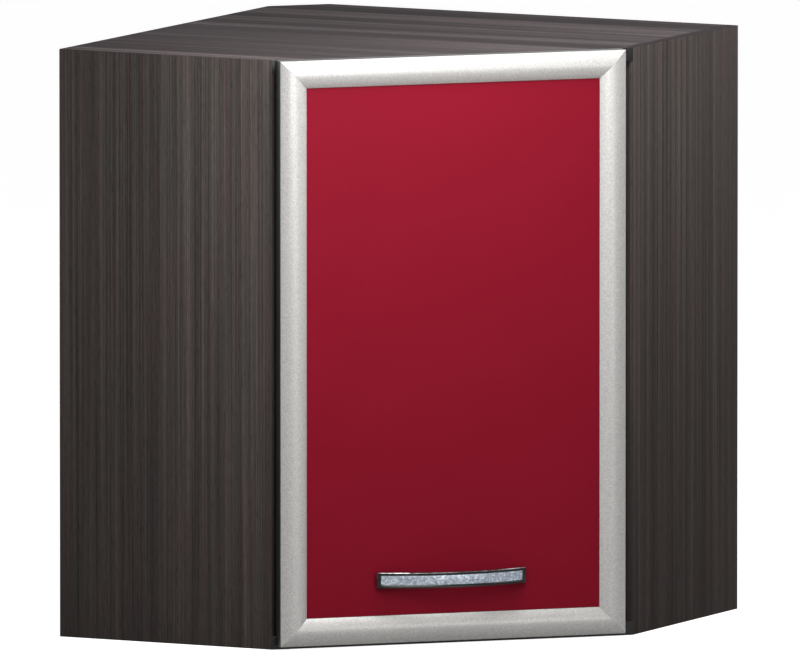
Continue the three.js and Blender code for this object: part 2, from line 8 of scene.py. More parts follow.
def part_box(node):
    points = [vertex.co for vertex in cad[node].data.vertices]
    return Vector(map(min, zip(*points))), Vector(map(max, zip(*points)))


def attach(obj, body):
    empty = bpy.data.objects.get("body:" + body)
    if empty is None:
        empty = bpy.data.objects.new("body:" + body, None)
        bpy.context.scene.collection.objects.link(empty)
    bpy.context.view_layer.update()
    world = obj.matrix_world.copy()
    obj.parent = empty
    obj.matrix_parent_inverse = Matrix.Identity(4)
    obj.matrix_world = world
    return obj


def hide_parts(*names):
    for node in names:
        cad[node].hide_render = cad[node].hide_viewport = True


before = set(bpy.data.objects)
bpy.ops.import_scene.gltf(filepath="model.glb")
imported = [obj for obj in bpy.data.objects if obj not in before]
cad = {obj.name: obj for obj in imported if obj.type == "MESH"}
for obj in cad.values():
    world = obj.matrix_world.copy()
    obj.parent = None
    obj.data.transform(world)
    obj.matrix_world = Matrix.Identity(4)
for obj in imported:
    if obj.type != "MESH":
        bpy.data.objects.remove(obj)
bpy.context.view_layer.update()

mm = 0.001
quarterTurn = math.radians(90)
fullTurn = math.radians(360)
scene = bpy.context.scene

# The door stands across the corner. In the front's own plan, x runs along it from the hinge
# side, y goes into the cabinet and z is up.
sideLow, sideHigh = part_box("left_side_panel")
frontPlan = Matrix.Translation((sideHigh.x, sideLow.y, 0)) @ Matrix.Rotation(quarterTurn / 2, 4, "Z")
toPlan = frontPlan.inverted()
planTurn = toPlan.to_3x3()


def turnedBox(node, turn):
    # a node's lowest and highest corners, as seen in a turned frame
    points = [turn @ v.co for v in cad[node].data.vertices]
    return tuple(Vector(pick(p[i] for p in points) for i in range(3)) for pick in (min, max))


def linear(hexColour):
    # colours are written as sRGB hex values, and nodes take them as linear ones
    values = [int(hexColour[i:i + 2], 16) / 255 for i in (1, 3, 5)]
    return [v / 12.92 if v <= 0.04045 else ((v + 0.055) / 1.055) ** 2.4 for v in values] + [1]


def setInputs(tree, node, inputs):
    # an input is a value, a hex colour, or the socket that it is linked from
    for socket, value in inputs.items():
        if isinstance(value, bpy.types.NodeSocket):
            tree.links.new(value, node.inputs[socket])
        else:
            node.inputs[socket].default_value = linear(value) if isinstance(value, str) else value


def addNode(tree, kind, inputs, stops=(), **settings):
    # stops are a colour ramp's places and colours, from the lowest up
    node = tree.nodes.new(kind)
    for name, value in settings.items():
        setattr(node, name, value)
    setInputs(tree, node, inputs)
    if stops:
        elements = node.color_ramp.elements
        for element, (place, colour) in zip(elements, (stops[0], stops[-1])):
            element.position, element.color = place, linear(colour)
        for place, colour in stops[1:-1]:
            elements.new(place).color = linear(colour)
    return node


# a colour mix has sockets of the same name for other kinds of value, so its own go by number
mixFactor, mixFirst, mixSecond, mixResult = 0, 6, 7, 2


plainPattern = {"detail": 2, "roughness": 0.5, "shift": 0}    # where a pattern says nothing else


def startMaterial(name, patterns, turn=(0, 0, 0)):
    # each pattern is a cloudy noise with spots of a real size, in mm across it and along z; they
    # come back by name, and with them the place on the piece that they are drawn at
    material = bpy.data.materials.new(name)
    material.use_nodes = True
    tree = material.node_tree
    place = addNode(tree, "ShaderNodeTexCoord", {}).outputs["Object"]
    turned = addNode(tree, "ShaderNodeMapping", {"Vector": place, "Rotation": turn})
    values = {"place": turned.outputs["Vector"]}
    for key, pattern in patterns.items():
        look = {**plainPattern, **pattern}
        across, along = 1 / (look["across"] * mm), 1 / (look["along"] * mm)
        sized = addNode(tree, "ShaderNodeMapping", {
            "Vector": turned.outputs["Vector"], "Scale": (across, across, along),
            "Location": [look["shift"]] * 3,
        })
        cloud = addNode(tree, "ShaderNodeTexNoise", {
            "Vector": sized.outputs["Vector"], "Scale": 1, "Detail": look["detail"],
            "Roughness": look["roughness"],
        })
        values[key] = cloud.outputs["Fac"]
    return material, tree, tree.nodes["Principled BSDF"], values


laminateLook = {
    "patterns": {
        "streak": {"across": 1.5, "along": 900, "roughness": 0.6},
        "thin": {"across": 1.05, "along": 260, "detail": 1, "shift": 7.3},
        "band": {"across": 9, "along": 1200, "shift": 3.1},
        "broad": {"across": 38, "along": 1600, "detail": 1, "shift": 11.7},
        "figure": {"across": 2.2, "along": 16, "roughness": 0.6, "shift": 5.9},
        "tint": {"across": 6, "along": 240, "detail": 1, "shift": 19.0},
        "pore": {"across": 0.9, "along": 14, "detail": 1, "shift": 23.0},
    },
    "wood": ((0.30, "#211e1e"), (0.42, "#343030"), (0.50, "#413d3b"), (0.59, "#554e4b"), (0.70, "#756f6a")),
    "tintEdge": ((0.42, "#000000"), (0.60, "#ffffff")),
    "tintShare": 0.55,
    "poreEdge": ((0.30, "#ffffff"), (0.38, "#000000")),
    "poreShare": 0.35,
    "poreColour": "#171412",
    "dull": (0.12, 0.46),    # roughness that the streaks add, and the least there is
    "bump": {"Distance": 0.05 * mm, "Strength": 0.35},
}
uprightGrain = {
    "shares": {"streak": 0.33, "thin": 0.13, "band": 0.20, "broad": 0.12, "figure": 0.09},
    "warm": "#fbe6e6",
    "cool": "#eaf2ee",
    "gloss": 0.004,
}
# lying faces: longer, bolder streaks of the same laminate, with warm and cool tints darker and bluer than the
# upright ones as painted shade
lyingGrainAndShade = {
    "shares": {"streak": 0.40, "thin": 0.15, "band": 0.25, "broad": 0.52, "figure": 0.13},
    "warm": "#e2d4e5",
    "cool": "#dad8e9",
    "gloss": 0.0022,
}


def woodGrainLaminate(name, turn, grain):
    # melamine paper printed with dark streaked wood and pressed with fine pores: long thin
    # streaks, warm and cool by turns, and a dull satin sheen
    look = laminateLook
    material, tree, shader, pattern = startMaterial(name, look["patterns"], turn)
    value = (1 - sum(grain["shares"].values())) / 2    # keeps the mean at the ramp's middle
    for part, share in grain["shares"].items():
        value = addNode(tree, "ShaderNodeMath", {0: pattern[part], 1: share, 2: value},
                        operation="MULTIPLY_ADD").outputs["Value"]
    wood = addNode(tree, "ShaderNodeValToRGB", {"Fac": value}, look["wood"])
    tintEdge = addNode(tree, "ShaderNodeValToRGB", {"Fac": pattern["tint"]}, look["tintEdge"])
    tint = addNode(tree, "ShaderNodeMix", {
        mixFactor: tintEdge.outputs["Color"], mixFirst: grain["warm"], mixSecond: grain["cool"],
    }, data_type="RGBA")
    toned = addNode(tree, "ShaderNodeMix", {
        mixFactor: look["tintShare"], mixFirst: wood.outputs["Color"], mixSecond: tint.outputs[mixResult],
    }, data_type="RGBA", blend_type="MULTIPLY")
    pore = addNode(tree, "ShaderNodeValToRGB", {"Fac": pattern["pore"]}, look["poreEdge"])
    poreShare = addNode(tree, "ShaderNodeMath", {0: pore.outputs["Color"], 1: look["poreShare"]},
                        operation="MULTIPLY")
    pored = addNode(tree, "ShaderNodeMix", {
        mixFactor: poreShare.outputs["Value"], mixFirst: toned.outputs[mixResult],
        mixSecond: look["poreColour"],
    }, data_type="RGBA")
    more, least = look["dull"]
    dull = addNode(tree, "ShaderNodeMath", {0: pattern["streak"], 1: more, 2: least},
                   operation="MULTIPLY_ADD")
    height = addNode(tree, "ShaderNodeMath", {0: pattern["streak"], 1: pore.outputs["Color"]},
                     operation="SUBTRACT")
    bump = addNode(tree, "ShaderNodeBump", {"Height": height.outputs["Value"], **look["bump"]})
    setInputs(tree, shader, {
        "Base Color": pored.outputs[mixResult], "Roughness": dull.outputs["Value"],
        "Specular IOR Level": grain["gloss"], "Normal": bump.outputs["Normal"],
    })
    return material


laminate = {
    "z": woodGrainLaminate("woodGrainLaminateUpright", (0, 0, 0), uprightGrain),
    "x": woodGrainLaminate("woodGrainLaminateAlongX", (0, quarterTurn, 0), lyingGrainAndShade),
    "y": woodGrainLaminate("woodGrainLaminateAlongY", (quarterTurn, 0, 0), lyingGrainAndShade),
    "front": woodGrainLaminate("woodGrainLaminateAcrossCorner", (0, quarterTurn, -quarterTurn / 2),
                               lyingGrainAndShade),
}

redFoilLook = {
    "patterns": {
        "cloud": {"across": 90, "along": 90},
        "peel": {"across": 2.6, "along": 2.6, "detail": 1},
    },
    "reds": ("#720f20", "#6c0d1d"),
    "shader": {"Roughness": 0.42, "Specular IOR Level": 0.03},
    "bump": {"Distance": 0.03 * mm, "Strength": 0.25},
}


def redSatinFoil():
    # thermofoil drawn over fibreboard and lacquered to a satin: deep even red, faint orange peel
    look = redFoilLook
    material, tree, shader, pattern = startMaterial("redSatinFoil", look["patterns"])
    first, second = look["reds"]
    reds = addNode(tree, "ShaderNodeMix", {
        mixFactor: pattern["cloud"], mixFirst: first, mixSecond: second,
    }, data_type="RGBA")
    bump = addNode(tree, "ShaderNodeBump", {"Height": pattern["peel"], **look["bump"]})
    setInputs(tree, shader, {
        "Base Color": reds.outputs[mixResult], "Normal": bump.outputs["Normal"], **look["shader"],
    })
    return material


silverFoilLook = {
    "patterns": {
        "flake": {"across": 1.5, "along": 1.5, "detail": 1, "roughness": 0.6},
        "blotch": {"across": 4, "along": 4, "shift": 4.0},
    },
    "flakeShare": 0.85,
    "silvers": ((0.30, "#919192"), (0.70, "#aeaba6")),
    "dull": (0.10, 0.31),    # roughness that the flakes add, and the least there is
    "shader": {"Metallic": 0.22, "Specular IOR Level": 0.1},
    "bump": {"Distance": 0.04 * mm, "Strength": 0.3},
}


def silverMetallisedFoil():
    # metallised foil wrapped over a moulded fibreboard section: pale warm silver whose fine
    # flakes read as a speckle. Real flakes are too fine to show, so these are drawn coarser
    look = silverFoilLook
    material, tree, shader, pattern = startMaterial("silverMetallisedFoil", look["patterns"])
    blotch = addNode(tree, "ShaderNodeMath", {0: pattern["blotch"], 1: 1 - look["flakeShare"]},
                     operation="MULTIPLY")
    speck = addNode(tree, "ShaderNodeMath", {
        0: pattern["flake"], 1: look["flakeShare"], 2: blotch.outputs["Value"],
    }, operation="MULTIPLY_ADD")
    silvers = addNode(tree, "ShaderNodeValToRGB", {"Fac": speck.outputs["Value"]}, look["silvers"])
    more, least = look["dull"]
    dull = addNode(tree, "ShaderNodeMath", {0: pattern["flake"], 1: more, 2: least}, operation="MULTIPLY_ADD")
    bump = addNode(tree, "ShaderNodeBump", {"Height": pattern["flake"], **look["bump"]})
    setInputs(tree, shader, {
        "Base Color": silvers.outputs["Color"], "Roughness": dull.outputs["Value"],
        "Normal": bump.outputs["Normal"], **look["shader"],
    })
    return material


def grainedFinish(name, look):
    # a finish of two close tones, whose one fine pattern also gives it its bump
    material, tree, shader, pattern = startMaterial(name, {"grain": look["grain"]})
    tones = addNode(tree, "ShaderNodeValToRGB", {"Fac": pattern["grain"]}, look["tones"])
    setInputs(tree, shader, {"Base Color": tones.outputs["Color"], **look["shader"]})
    if "dull" in look:
        more, least = look["dull"]
        dull = addNode(tree, "ShaderNodeMath", {0: pattern["grain"], 1: more, 2: least},
                       operation="MULTIPLY_ADD")
        setInputs(tree, shader, {"Roughness": dull.outputs["Value"]})
    if "bump" in look:
        bump = addNode(tree, "ShaderNodeBump", {"Height": pattern["grain"], **look["bump"]})
        setInputs(tree, shader, {"Normal": bump.outputs["Normal"]})
    return material


# black ABS edging, trimmed and buffed: near black with a soft sheen and faint scraper lines. It is the door's
# real edge bands, and also painted shade on the moulding's sides and on the top and bottom panels' front
# faces
edgingAndPaintedShade = grainedFinish("blackAbsEdgingAndPaintedShade", {
    "grain": {"across": 1.2, "along": 60},
    "tones": ((0.3, "#0f0f10"), (0.7, "#181819")),
    "shader": {"Roughness": 0.36, "Specular IOR Level": 0.2},
    "bump": {"Distance": 0.02 * mm, "Strength": 0.2},
})

# pressed steel, nickel plated: warm pale metal, with fine drawing lines from the press
nickel = grainedFinish("nickelledPressedSteel", {
    "grain": {"across": 9, "along": 0.5, "detail": 3},
    "tones": ((0.3, "#b7b3ab"), (0.7, "#cfccc4")),
    "dull": (0.18, 0.18),
    "shader": {"Metallic": 1.0},
    "bump": {"Distance": 0.01 * mm, "Strength": 0.2},
})

# zinc casting with black chrome plating: almost black and smooth, with slightly blurred reflections
blackChrome = grainedFinish("blackChromedZinc", {
    "grain": {"across": 3, "along": 3},
    "tones": ((0.3, "#181818"), (0.7, "#212120")),
    "shader": {"Metallic": 0.85, "Roughness": 0.24},
    "bump": {"Distance": 0.02 * mm, "Strength": 0.15},
})

# the same plating made lighter on the chamfer along an edge: a painted highlight line
paintedHighlightArris = grainedFinish("platingArrisPaintedHighlight", {
    "grain": {"across": 7, "along": 7},
    "tones": ((0.35, "#3a3b3c"), (0.62, "#7b7a7e")),
    "shader": {"Metallic": 1.0, "Roughness": 0.35},
    "bump": {"Distance": 0.02 * mm, "Strength": 0.15},
})

# moulded nylon: pale grey, with a soft sheen and a fine spark-eroded grain
nylon = grainedFinish("paleGreyNylon", {
    "grain": {"across": 0.6, "along": 0.6},
    "tones": ((0.3, "#c9c9c4"), (0.7, "#d6d6d2")),
    "shader": {"Roughness": 0.48},
    "bump": {"Distance": 0.03 * mm, "Strength": 0.3},
})

# cast polyurethane dots: milky, smooth and faintly see-through
rubber = grainedFinish("milkyPolyurethane", {
    "grain": {"across": 1, "along": 1},
    "tones": ((0.3, "#c5c6c2"), (0.7, "#d2d3cf")),
    "shader": {"Roughness": 0.3, "Transmission Weight": 0.35},
})

crackleLook = {
    "scale": 2.3 * mm,       # size of a scale of leaf
    "wander": 2.4 * mm,      # how far the seams leave their straight runs
    "wanderScale": 420,      # wanders in a metre
    "leaf": ((0.0, "#6f7985"), (0.5, "#8c95a0"), (1.0, "#b9bec4")),
    "seamEdge": ((0.02, "#ffffff"), (0.10, "#000000")),
    "seamShare": 0.55,
    "seamColour": "#5d6b78",
    "shader": {"Metallic": 0.45, "Roughness": 0.34},
    "bump": {"Distance": 0.2 * mm, "Strength": 0.4},
}


def crackledSilverLeaf():
    # silver leaf under clear lacquer, crackled: bluish scales, pale and grey, with dark seams
    look = crackleLook
    material, tree, shader, pattern = startMaterial("crackledSilverLeaf", {})
    place = pattern["place"]
    wobble = addNode(tree, "ShaderNodeTexNoise", {
        "Vector": place, "Scale": look["wanderScale"], "Detail": plainPattern["detail"],
    })
    moved = addNode(tree, "ShaderNodeVectorMath", {0: wobble.outputs["Color"], "Scale": look["wander"]},
                    operation="SCALE")
    shifted = addNode(tree, "ShaderNodeVectorMath", {0: place, 1: moved.outputs[0]}, operation="ADD")
    sized = {"Vector": shifted.outputs[0], "Scale": 1 / look["scale"]}
    scales = addNode(tree, "ShaderNodeTexVoronoi", sized)
    seams = addNode(tree, "ShaderNodeTexVoronoi", sized, feature="DISTANCE_TO_EDGE")
    tone = addNode(tree, "ShaderNodeSeparateColor", {"Color": scales.outputs["Color"]})
    leaf = addNode(tree, "ShaderNodeValToRGB", {"Fac": tone.outputs["Red"]}, look["leaf"])
    seamEdge = addNode(tree, "ShaderNodeValToRGB", {"Fac": seams.outputs["Distance"]}, look["seamEdge"])
    seamShare = addNode(tree, "ShaderNodeMath", {0: seamEdge.outputs["Color"], 1: look["seamShare"]},
                        operation="MULTIPLY")
    seamed = addNode(tree, "ShaderNodeMix", {
        mixFactor: seamShare.outputs["Value"], mixFirst: leaf.outputs["Color"],
        mixSecond: look["seamColour"],
    }, data_type="RGBA")
    bump = addNode(tree, "ShaderNodeBump", {"Height": seams.outputs["Distance"], **look["bump"]})
    setInputs(tree, shader, {
        "Base Color": seamed.outputs[mixResult], "Normal": bump.outputs["Normal"], **look["shader"],
    })
    return material


hardboardLook = {
    "patterns": {
        "fibre": {"across": 1.4, "along": 4, "detail": 4, "roughness": 0.7},
        "cloud": {"across": 60, "along": 60, "detail": 3},
    },
    "browns": ((0.3, "#5b4431"), (0.72, "#856a50")),
    "cloudColour": "#6f563f",
    "shader": {"Roughness": 0.78},
    "bump": {"Distance": 0.12 * mm, "Strength": 0.5},
}


def brownHardboard():
    # wet-process hardboard: brown felted fibres, dull and a little uneven in tone
    look = hardboardLook
    material, tree, shader, pattern = startMaterial("brownHardboard", look["patterns"])
    browns = addNode(tree, "ShaderNodeValToRGB", {"Fac": pattern["fibre"]}, look["browns"])
    clouded = addNode(tree, "ShaderNodeMix", {
        mixFactor: pattern["cloud"], mixFirst: browns.outputs["Color"], mixSecond: look["cloudColour"],
    }, data_type="RGBA")
    bump = addNode(tree, "ShaderNodeBump", {"Height": pattern["fibre"], **look["bump"]})
    setInputs(tree, shader, {
        "Base Color": clouded.outputs[mixResult], "Normal": bump.outputs["Normal"], **look["shader"],
    })
    return material


red = redSatinFoil()
silver = silverMetallisedFoil()
crackle = crackledSilverLeaf()
hardboard = brownHardboard()
print("materials:", len(bpy.data.materials))

meshCare = {
    "weld": 0.004 * mm,
    "flat": math.radians(0.5),     # facets that turn less than this are one face
    "sharp": math.radians(35),     # edges that turn more than this are eased
    "smooth": 34,                  # degrees under which a piece is shaded smooth
}


def copyOf(node):
    # a CAD node's mesh, merged from its loose triangles
    work = bmesh.new()
    work.from_mesh(cad[node].data)
    bmesh.ops.remove_doubles(work, verts=work.verts, dist=meshCare["weld"])
    bmesh.ops.dissolve_limit(work, angle_limit=meshCare["flat"], verts=work.verts, edges=work.edges)
    return work


def easeEdges(work, edges, width, segments, material=-1):
    bmesh.ops.bevel(work, geom=edges, offset=width, offset_type="OFFSET", affect="EDGES",
                    segments=segments, profile=0.5, material=material, clamp_overlap=True)


def soften(work, width, segments=2, longerThan=0.0, wanted=None):
    easeEdges(work, [
        e for e in work.edges
        if e.is_manifold and e.calc_face_angle() > meshCare["sharp"]
        and e.calc_length() > longerThan and (wanted is None or wanted(e))
    ], width, segments)


def asPiece(name, work, body, materials, stands=(), smooth=meshCare["smooth"]):
    # stands names the CAD nodes that the piece stands for
    mesh = bpy.data.meshes.new(name)
    bmesh.ops.recalc_face_normals(work, faces=work.faces)
    work.to_mesh(mesh)
    work.free()
    for material in materials:
        mesh.materials.append(material)
    for polygon in mesh.polygons:
        polygon.use_smooth = True
    mesh.set_sharp_from_angle(angle=math.radians(smooth))
    piece = bpy.data.objects.new(name, mesh)
    scene.collection.objects.link(piece)
    if stands:
        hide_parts(*stands)
    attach(piece, body)
    return piece


# boards: the grain stands upright on the sides and the corner back, and lies along x on the others
boardLook = {
    "arris": 0.45 * mm,
    "longerThan": 14 * mm,   # shorter edges stay sharp
    "endFace": 0.7,          # a normal's share of z, past which its face is an end or a top
    "wallFace": 0.9,         # a normal's share of x or y, past which its face is along a wall
    "paintedShadeFace": 0.9,         # a normal's share of the front's way, past which its face gets the black edging as painted shade
}
grainSlots = ["z", "x", "y", "front"]


def grainOf(normal, standing, endGrain):
    if abs(normal.z) > boardLook["endFace"]:
        return endGrain
    if standing:
        return "z"
    if abs(normal.x) > boardLook["wallFace"]:
        return "y"
    if abs(normal.y) > boardLook["wallFace"]:
        return "x"
    return "front"


def makeBoard(node, standing, endGrain, paintedShadeFront=False):
    work = copyOf(node)
    soften(work, boardLook["arris"], longerThan=boardLook["longerThan"])
    bmesh.ops.recalc_face_normals(work, faces=work.faces)
    for face in work.faces:
        face.material_index = grainSlots.index(grainOf(face.normal, standing, endGrain))
        # the top and bottom panels' front faces, in shade behind the door, get the black edging: painted
        # shade
        if paintedShadeFront and (planTurn @ face.normal).y < -boardLook["paintedShadeFace"]:
            face.material_index = len(grainSlots)
    asPiece(node + "_laminated", work, "carcass",
            [laminate[g] for g in grainSlots] + [edgingAndPaintedShade], [node])


makeBoard("left_side_panel", standing=True, endGrain="x")
makeBoard("right_side_panel", standing=True, endGrain="y")
makeBoard("corner_back_panel", standing=True, endGrain="front")
for node in ("top_panel", "bottom_panel"):
    makeBoard(node, standing=False, endGrain="x", paintedShadeFront=True)
for node in ("shelf_1", "shelf_2"):
    makeBoard(node, standing=False, endGrain="x")
print("boards done")

# the door slab keeps its CAD shape and only gets its foil
cad["door_panel"].data.materials.clear()
cad["door_panel"].data.materials.append(red)

edgeBandLook = {"arris": 0.3 * mm, "longerThan": 5 * mm}
for place in ("left", "right", "top", "bottom"):
    node = f"door_edge_band_{place}"
    work = copyOf(node)
    soften(work, edgeBandLook["arris"], longerThan=edgeBandLook["longerThan"])
    asPiece(node + "_trimmed", work, "door", [edgingAndPaintedShade], [node])

doorLow = turnedBox("door_edge_band_left", toPlan)[0]
doorHigh = turnedBox("door_edge_band_right", toPlan)[1]
mouldingLow, mouldingHigh = turnedBox("door_moulding_left", toPlan)
mouldingLook = {
    "width": mouldingHigh.x - mouldingLow.x,
    "base": mouldingHigh.y,  # how deep the door's face lies in the front's plan
    "crown": 6.0 * mm,
    "outerEdge": 1.0 * mm,   # height at the door's edge
    "innerEdge": 0.8 * mm,   # height where the section meets the slab
    "round": 0.5 * mm,
    "roundSegments": 4,
    "roundFrom": math.radians(50),
    "offBase": 0.1 * mm,     # edges nearer the base than this stay sharp
    "fullness": 2.0,
    "swell": 1.7,            # how much further out the shading normals lean than the faces
    "swollenFace": 0.75,     # a normal's share of the front's way, past which it is swollen
    "seam": 0.12 * mm,       # gap between two mitred lengths, on each side
    "steps": 22,
    "stilePaintedShadeSide": 0.7,        # a normal's share outwards, past which a face gets the black edging as painted shade
    "railPaintedShadeSide": 0.93,
    "innerSide": 0.8,
}


def mouldingSection():
    look = mouldingLook
    rise = look["crown"] - (look["outerEdge"] + look["innerEdge"]) / 2
    points = [(look["width"], 0), (0, 0)]
    for i in range(look["steps"] + 1):
        t = i / look["steps"]
        chord = look["outerEdge"] + (look["innerEdge"] - look["outerEdge"]) * t
        points.append((look["width"] * t, chord + rise * (1 - abs(2 * t - 1) ** look["fullness"])))
    return points


def swell(mesh):
    # the section reads fuller than its low crown gives, so its normals lean further out
    look = mouldingLook
    planBack = planTurn.inverted()
    normals = [Vector(n.vector) for n in mesh.corner_normals]
    for polygon in mesh.polygons:
        if polygon.material_index == 0 and (planTurn @ polygon.normal).y < -look["swollenFace"]:
            for i in polygon.loop_indices:
                lean = planTurn @ normals[i]
                swollen = Vector((lean.x * look["swell"], lean.y, lean.z * look["swell"]))
                normals[i] = (planBack @ swollen).normalized()
    mesh.normals_split_custom_set(normals)


def makeMoulding(place, length, outward, turn, corner):
    # drawn along z from its outer corner, mitred at both ends, then turned into its place
    look = mouldingLook
    work = bmesh.new()
    face = work.faces.new([work.verts.new((x, -height, 0)) for x, height in mouldingSection()])
    grown = bmesh.ops.extrude_face_region(work, geom=[face])["geom"]
    tops = [v for v in grown if isinstance(v, bmesh.types.BMVert)]
    bmesh.ops.translate(work, verts=tops, vec=(0, 0, length))
    easeEdges(work, [
        e for e in work.edges
        if abs(e.verts[0].co.z - e.verts[1].co.z) > length / 2
        and e.calc_face_angle() > look["roundFrom"] and abs(e.verts[0].co.y) > look["offBase"]
    ], look["round"], look["roundSegments"])
    for end, normal in ((look["seam"], (1, 0, -1)), (length - look["seam"], (1, 0, 1))):
        geom = list(work.verts) + list(work.edges) + list(work.faces)
        bmesh.ops.bisect_plane(work, geom=geom, plane_co=(0, 0, end), plane_no=normal, clear_outer=True)
        bmesh.ops.holes_fill(work, edges=[e for e in work.edges if e.is_boundary])
    put = frontPlan @ Matrix.Translation(corner) @ turn
    bmesh.ops.transform(work, matrix=put, verts=work.verts)
    bmesh.ops.recalc_face_normals(work, faces=work.faces)
    # the moulding's outer and inner side faces get the black edging: painted shade along its edges
    paintedShadeOuterSide = look["stilePaintedShadeSide"] if outward[0] else look["railPaintedShadeSide"]
    for face in work.faces:
        across = (planTurn @ face.normal).dot(outward)
        if across > paintedShadeOuterSide or across < -look["innerSide"]:
            face.material_index = 1
    node = f"door_moulding_{place}"
    piece = asPiece(node + "_wrapped", work, "door", [silver, edgingAndPaintedShade], [node])
    swell(piece.data)


doorWidth = doorHigh.x - doorLow.x
doorHeight = doorHigh.z - doorLow.z
base = mouldingLook["base"]
asDrawn = Matrix.Identity(4)
alongDoor = Matrix(((0, 0, 1, 0), (0, 1, 0, 0), (1, 0, 0, 0), (0, 0, 0, 1)))    # swaps x and z
mirrorX = Matrix.Scale(-1, 4, (1, 0, 0))
mirrorZ = Matrix.Scale(-1, 4, (0, 0, 1))
lowCorner = (doorLow.x, base, doorLow.z)
makeMoulding("left", doorHeight, (-1, 0, 0), asDrawn, lowCorner)
makeMoulding("right", doorHeight, (1, 0, 0), mirrorX, (doorHigh.x, base, doorLow.z))
makeMoulding("bottom", doorWidth, (0, 0, -1), alongDoor, lowCorner)
makeMoulding("top", doorWidth, (0, 0, 1), mirrorZ @ alongDoor, (doorLow.x, base, doorHigh.z))

bumperLook = {"steps": 6, "sides": 24, "weld": 0.01 * mm}


def makeBumper(node):
    # a low dome, spun from a quarter of an ellipse
    look = bumperLook
    low, high = turnedBox(node, toPlan)
    centre = (low + high) / 2
    radius, height = (high.x - low.x) / 2, high.y - low.y
    angles = [quarterTurn * i / look["steps"] for i in range(look["steps"] + 1)]
    work = bmesh.new()
    dome = [work.verts.new((radius * math.cos(a), height * math.sin(a), 0)) for a in angles]
    rim = [work.edges.new(pair) for pair in zip(dome, dome[1:])]
    bmesh.ops.spin(work, geom=dome + rim, cent=(0, 0, 0), axis=(0, 1, 0), angle=fullTurn,
                   steps=look["sides"], use_merge=True)
    bmesh.ops.remove_doubles(work, verts=work.verts, dist=look["weld"])
    bmesh.ops.holes_fill(work, edges=[e for e in work.edges if e.is_boundary])
    put = frontPlan @ Matrix.Translation((centre.x, low.y, centre.z))
    bmesh.ops.transform(work, matrix=put, verts=work.verts)
    asPiece(node + "_dome", work, "door", [rubber], [node])


makeBumper("door_bumper_lower")
makeBumper("door_bumper_upper")
print("door done")

# handle: a cast bow with a chamfer along its top, whose lighter plating is a painted highlight, and a leaf
# let into its face
handleLook = {
    "edge": 0.4 * mm,
    "arris": 0.9 * mm,       # chamfer along the top of the front face, in a lighter plating as a painted highlight
    "topBand": 0.01 * mm,    # edges this near the top belong to it
    "frontFace": 0.7,        # a normal's share of the front's way, past which its face is in front
    "rim": 6.1 * mm,         # half the pocket's height and a little: its edges stay sharp
    "leafEdge": 0.25 * mm,
    "longerThan": 3 * mm,
    "smooth": 40,
}


def makeHandle():
    look = handleLook
    bowLow, bowHigh = turnedBox("handle_bow", toPlan)
    middle = (bowLow.z + bowHigh.z) / 2
    bow = copyOf("handle_bow")
    easeEdges(bow, [
        e for e in bow.edges
        if min(v.co.z for v in e.verts) > bowHigh.z - look["topBand"]
        and max(-(planTurn @ f.normal).y for f in e.link_faces) > look["frontFace"]
        and e.calc_face_angle() > meshCare["sharp"]
    ], look["arris"], 1, material=1)

    def beyondPocket(edge):
        away = min(abs(v.co.z - middle) for v in edge.verts)
        return away > look["rim"] and not any(f.material_index for f in edge.link_faces)

    soften(bow, look["edge"], longerThan=look["longerThan"], wanted=beyondPocket)
    asPiece("handle_bow_plated", bow, "door", [blackChrome, paintedHighlightArris],
            ["handle_bow"], look["smooth"])
    leaf = copyOf("handle_inlay")
    soften(leaf, look["leafEdge"], longerThan=look["longerThan"])
    asPiece("handle_inlay_leaf", leaf, "door", [crackle],
            ["handle_inlay"], look["smooth"])


makeHandle()
print("handle done")

screwLook = {
    "sides": 24,
    "pitch": 1.5 * mm,
    "core": 0.72,            # thread's root, as a share of its crest
    "point": 0.6,            # end of the screw, as a share of the root
    "crest": (0.45, 0.6),    # where a thread's crest starts and ends, as shares of the pitch
    "runOut": 0.6 * mm,      # plain length under the head
    "underside": 0.98,       # underside of the head, as a share of the head
    "pan": ((1.0, 0.12), (1.0, 0.38), (0.96, 0.62), (0.86, 0.84), (0.74, 0.96), (0.66, 1.0)),
    "crossHalf": 0.12,
    "crossReach": 0.52,
    "crossDepth": 1.1 * mm,
    "crossTaper": 0.6,
    "headHeight": 1.5 * mm,
    "handleHeadHeight": 2.4 * mm,
    "neck": 0.3 * mm,        # the shank is measured this far under the head
    "weld": 0.005 * mm,
    "smooth": 30,
}


def screwProfile(head, height, shank, tip, under):
    # radius and height, from the tip up: threads, neck, and a pan head in shares of its size
    look = screwLook
    core, pitch = shank * look["core"], look["pitch"]
    points = [(0, tip), (core * look["point"], tip), (core, tip + pitch / 2)]
    z = tip + pitch / 2
    while z + pitch < under - look["runOut"]:
        points += [(shank, z + share * pitch) for share in look["crest"]] + [(core, z + pitch)]
        z += pitch
    points += [(core, under), (head * look["underside"], under)]
    return points + [(head * r, under + height * h) for r, h in look["pan"]]


def lathe(work, points, sides):
    ring = [work.verts.new((r, 0, z)) for r, z in points]
    line = [work.edges.new(pair) for pair in zip(ring, ring[1:])]
    bmesh.ops.spin(work, geom=ring + line, cent=(0, 0, 0), axis=(0, 0, 1), angle=fullTurn,
                   steps=sides, use_merge=True)
    bmesh.ops.remove_doubles(work, verts=work.verts, dist=screwLook["weld"])


